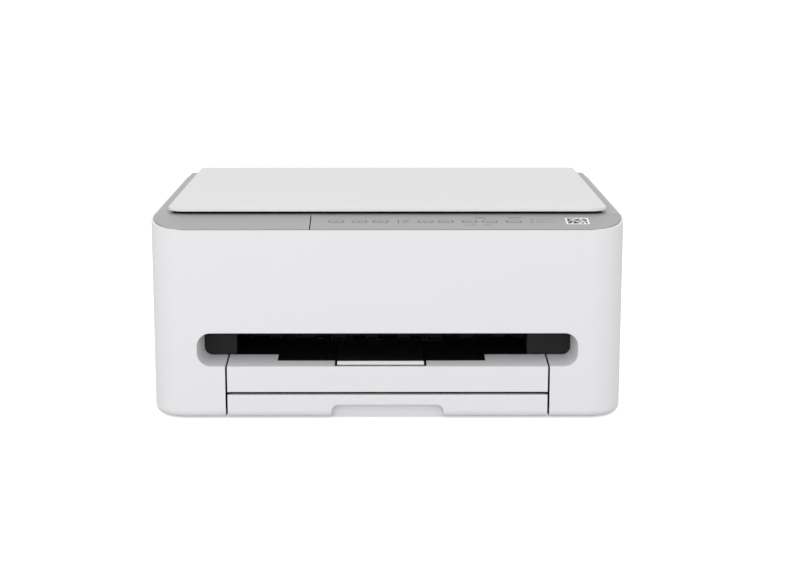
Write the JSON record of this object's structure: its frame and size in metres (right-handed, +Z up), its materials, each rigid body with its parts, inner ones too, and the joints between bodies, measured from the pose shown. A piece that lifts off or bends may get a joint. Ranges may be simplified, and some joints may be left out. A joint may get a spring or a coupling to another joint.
{
  "type": "multifunction printer",
  "caption": "Low desktop printer and scanner with a flat hinged lid, sloped key strip, wide front paper throat, output tray and front paper cassette.",
  "frame": {"origin": "on the floor, under the middle of the body", "axes": "+X to the right seen from the front, +Y to the back, +Z up"},
  "size_m": [0.418, 0.34, 0.1838],
  "materials": {
    "outer_shell": "fine matte texture",
    "base_tray": "matte",
    "base_screws": "bare",
    "rubber_feet": "matte",
    "rear_cover": "fine matte texture",
    "inlet_socket": "matte",
    "throat_liner": "matte",
    "main_frame": "bare",
    "steel_shafts": "bare",
    "drive_belts": "matte",
    "drive_motors": "bare",
    "encoder_strip": "clear film",
    "pinch_holder": "matte",
    "platen": "matte",
    "star_wheel_holder": "matte",
    "outer_turn_guide": "matte",
    "inner_turn_guide": "matte",
    "maintenance_unit": "matte",
    "ink_absorber": "felt",
    "power_supply": "matte",
    "main_board": "circuit board",
    "hinge_brackets": "matte",
    "feed_roller": "matte",
    "eject_roller": "matte",
    "pinch_rollers": "matte",
    "star_wheels": "matte",
    "pickup_arm": "matte",
    "pickup_roller": "matte",
    "carriage": "matte",
    "ink_cartridges": "matte",
    "drive_pulley": "matte",
    "idler_pulley": "matte",
    "scanner_frame": "satin",
    "scanner_tub": "matte",
    "platen_bezel": "matte",
    "platen_glass": "clear",
    "control_panel": "satin",
    "panel_board": "circuit board",
    "sensor_bar": "matte",
    "scan_motor": "bare",
    "hinge_posts": "matte",
    "document_lid": "fine matte texture",
    "pressure_pad": "foam backed sheet",
    "lid_bumpers": "matte",
    "cassette": "fine matte texture",
    "paper_guide_left": "matte",
    "paper_guide_right": "matte",
    "guide_pinion": "matte",
    "paper_guide_rear": "matte",
    "output_tray": "fine matte texture",
    "tray_inner": "matte",
    "output_extension": "matte",
    "panel_key_1": "satin",
    "panel_key_2": "satin",
    "panel_key_3": "satin",
    "panel_key_4": "satin",
    "panel_key_5": "satin",
    "panel_key_6": "satin",
    "panel_key_7": "satin",
    "panel_key_8": "satin"
  },
  "bodies": {
    "root": {"outer_shell": "outer_shell", "base_tray": "base_tray", "base_screws": "base_screws", "rubber_feet": "rubber_feet", "rear_cover": "rear_cover", "inlet_socket": "inlet_socket", "throat_liner": "throat_liner", "main_frame": "main_frame", "steel_shafts": "steel_shafts", "drive_belts": "drive_belts", "drive_motors": "drive_motors", "encoder_strip": "encoder_strip", "pinch_holder": "pinch_holder", "platen": "platen", "star_wheel_holder": "star_wheel_holder", "outer_turn_guide": "outer_turn_guide", "inner_turn_guide": "inner_turn_guide", "maintenance_unit": "maintenance_unit", "ink_absorber": "ink_absorber", "power_supply": "power_supply", "main_board": "main_board", "hinge_brackets": "hinge_brackets"},
    "feed_roller": {"feed_roller": "feed_roller"},
    "eject_roller": {"eject_roller": "eject_roller"},
    "pinch_rollers": {"pinch_rollers": "pinch_rollers"},
    "star_wheels": {"star_wheels": "star_wheels"},
    "pickup_arm": {"pickup_arm": "pickup_arm"},
    "pickup_roller": {"pickup_roller": "pickup_roller"},
    "carriage": {"carriage": "carriage", "ink_cartridges": "ink_cartridges"},
    "drive_pulley": {"drive_pulley": "drive_pulley"},
    "idler_pulley": {"idler_pulley": "idler_pulley"},
    "scanner_unit": {"scanner_frame": "scanner_frame", "scanner_tub": "scanner_tub", "platen_bezel": "platen_bezel", "platen_glass": "platen_glass", "control_panel": "control_panel", "panel_board": "panel_board"},
    "sensor": {"sensor_bar": "sensor_bar", "scan_motor": "scan_motor"},
    "lid_hinges": {"hinge_posts": "hinge_posts"},
    "lid": {"document_lid": "document_lid", "pressure_pad": "pressure_pad", "lid_bumpers": "lid_bumpers"},
    "cassette": {"cassette": "cassette"},
    "guide_left": {"paper_guide_left": "paper_guide_left"},
    "guide_right": {"paper_guide_right": "paper_guide_right"},
    "guide_pinion": {"guide_pinion": "guide_pinion"},
    "rear_guide": {"paper_guide_rear": "paper_guide_rear"},
    "output_tray": {"output_tray": "output_tray", "tray_inner": "tray_inner"},
    "output_extension": {"output_extension": "output_extension"},
    "key_1": {"panel_key_1": "panel_key_1"},
    "key_2": {"panel_key_2": "panel_key_2"},
    "key_3": {"panel_key_3": "panel_key_3"},
    "key_4": {"panel_key_4": "panel_key_4"},
    "key_5": {"panel_key_5": "panel_key_5"},
    "key_6": {"panel_key_6": "panel_key_6"},
    "key_7": {"panel_key_7": "panel_key_7"},
    "key_8": {"panel_key_8": "panel_key_8"}
  },
  "joints": [
    {"name": "scanner_hinge", "type": "hinge", "parent": "root", "child": "scanner_unit", "pos_m": [0, 0.1605, 0.164], "axis": [-1, 0, 0], "range_deg": [0, 45]},
    {"name": "lid_lift", "type": "slide", "parent": "scanner_unit", "child": "lid_hinges", "axis": [0, 0, 1], "range_m": [0, 0.01]},
    {"name": "lid_hinge", "type": "hinge", "parent": "lid_hinges", "child": "lid", "pos_m": [0, 0.161, 0.1789], "axis": [-1, 0, 0], "range_deg": [0, 90]},
    {"name": "sensor_slide", "type": "slide", "parent": "scanner_unit", "child": "sensor", "axis": [1, 0, 0], "range_m": [0, 0.29]},
    {"name": "cassette_slide", "type": "slide", "parent": "root", "child": "cassette", "axis": [0, -1, 0], "range_m": [0, 0.25]},
    {"name": "guide_left_slide", "type": "slide", "parent": "cassette", "child": "guide_left", "axis": [1, 0, 0], "range_m": [0, 0.045]},
    {"name": "guide_right_slide", "type": "slide", "parent": "cassette", "child": "guide_right", "axis": [-1, 0, 0], "range_m": [0, 0.045]},
    {"name": "guide_pinion_spin", "type": "hinge", "parent": "cassette", "child": "guide_pinion", "pos_m": [0, -0.03, 0.00855], "axis": [0, 0, 1], "range_deg": [0, 325]},
    {"name": "rear_guide_slide", "type": "slide", "parent": "cassette", "child": "rear_guide", "axis": [0, -1, 0], "range_m": [0, 0.08]},
    {"name": "tray_slide", "type": "slide", "parent": "root", "child": "output_tray", "axis": [0, -1, 0], "range_m": [0, 0.07]},
    {"name": "extension_slide", "type": "slide", "parent": "output_tray", "child": "output_extension", "axis": [0, -1, 0], "range_m": [0, 0.08]},
    {"name": "carriage_slide", "type": "slide", "parent": "root", "child": "carriage", "axis": [-1, 0, 0], "range_m": [0, 0.285]},
    {"name": "drive_pulley_spin", "type": "hinge", "parent": "root", "child": "drive_pulley", "pos_m": [-0.18, 0.0265, 0.1], "axis": [0, -1, 0], "range_deg": [0, 2560]},
    {"name": "idler_pulley_spin", "type": "hinge", "parent": "root", "child": "idler_pulley", "pos_m": [0.18, 0.0265, 0.1], "axis": [0, -1, 0], "range_deg": [0, 2560]},
    {"name": "feed_roller_spin", "type": "hinge", "parent": "root", "child": "feed_roller", "pos_m": [0, 0.008, 0.054], "axis": [1, 0, 0], "continuous": true},
    {"name": "eject_roller_spin", "type": "hinge", "parent": "root", "child": "eject_roller", "pos_m": [0, -0.058, 0.0545], "axis": [1, 0, 0], "continuous": true},
    {"name": "pinch_roller_spin", "type": "hinge", "parent": "root", "child": "pinch_rollers", "pos_m": [0, 0.008, 0.0634], "axis": [1, 0, 0], "continuous": true},
    {"name": "star_wheel_spin", "type": "hinge", "parent": "root", "child": "star_wheels", "pos_m": [0, -0.058, 0.0644], "axis": [1, 0, 0], "continuous": true},
    {"name": "pickup_arm_swing", "type": "hinge", "parent": "root", "child": "pickup_arm", "pos_m": [0, 0.028, 0.036], "axis": [-1, 0, 0], "range_deg": [0, 8]},
    {"name": "pickup_roller_spin", "type": "hinge", "parent": "pickup_arm", "child": "pickup_roller", "pos_m": [0, 0.086, 0.033], "axis": [1, 0, 0], "continuous": true},
    {"name": "key_1_press", "type": "slide", "parent": "scanner_unit", "child": "key_1", "axis": [0, 0.1844, -0.9828], "range_m": [0, 0.0006], "stiffness_N_per_m": 400, "springref_m": -0.0005},
    {"name": "key_2_press", "type": "slide", "parent": "scanner_unit", "child": "key_2", "axis": [0, 0.1844, -0.9828], "range_m": [0, 0.0006], "stiffness_N_per_m": 400, "springref_m": -0.0005},
    {"name": "key_3_press", "type": "slide", "parent": "scanner_unit", "child": "key_3", "axis": [0, 0.1844, -0.9828], "range_m": [0, 0.0006], "stiffness_N_per_m": 400, "springref_m": -0.0005},
    {"name": "key_4_press", "type": "slide", "parent": "scanner_unit", "child": "key_4", "axis": [0, 0.1844, -0.9828], "range_m": [0, 0.0006], "stiffness_N_per_m": 400, "springref_m": -0.0005},
    {"name": "key_5_press", "type": "slide", "parent": "scanner_unit", "child": "key_5", "axis": [0, 0.1844, -0.9828], "range_m": [0, 0.0006], "stiffness_N_per_m": 400, "springref_m": -0.0005},
    {"name": "key_6_press", "type": "slide", "parent": "scanner_unit", "child": "key_6", "axis": [0, 0.1844, -0.9828], "range_m": [0, 0.0006], "stiffness_N_per_m": 400, "springref_m": -0.0005},
    {"name": "key_7_press", "type": "slide", "parent": "scanner_unit", "child": "key_7", "axis": [0, 0.1844, -0.9828], "range_m": [0, 0.0006], "stiffness_N_per_m": 400, "springref_m": -0.0005},
    {"name": "key_8_press", "type": "slide", "parent": "scanner_unit", "child": "key_8", "axis": [0, 0.1844, -0.9828], "range_m": [0, 0.0006], "stiffness_N_per_m": 400, "springref_m": -0.0005}
  ],
  "couplings": [
    {"joint": "guide_right_slide", "follows": "guide_left_slide", "ratio": 1},
    {"joint": "guide_pinion_spin", "follows": "guide_left_slide", "rad_per_m": 125},
    {"joint": "drive_pulley_spin", "follows": "carriage_slide", "rad_per_m": 156.25},
    {"joint": "idler_pulley_spin", "follows": "carriage_slide", "rad_per_m": 156.25},
    {"joint": "eject_roller_spin", "follows": "feed_roller_spin", "ratio": 1},
    {"joint": "pinch_roller_spin", "follows": "feed_roller_spin", "ratio": -2},
    {"joint": "star_wheel_spin", "follows": "feed_roller_spin", "ratio": -1.375}
  ]
}
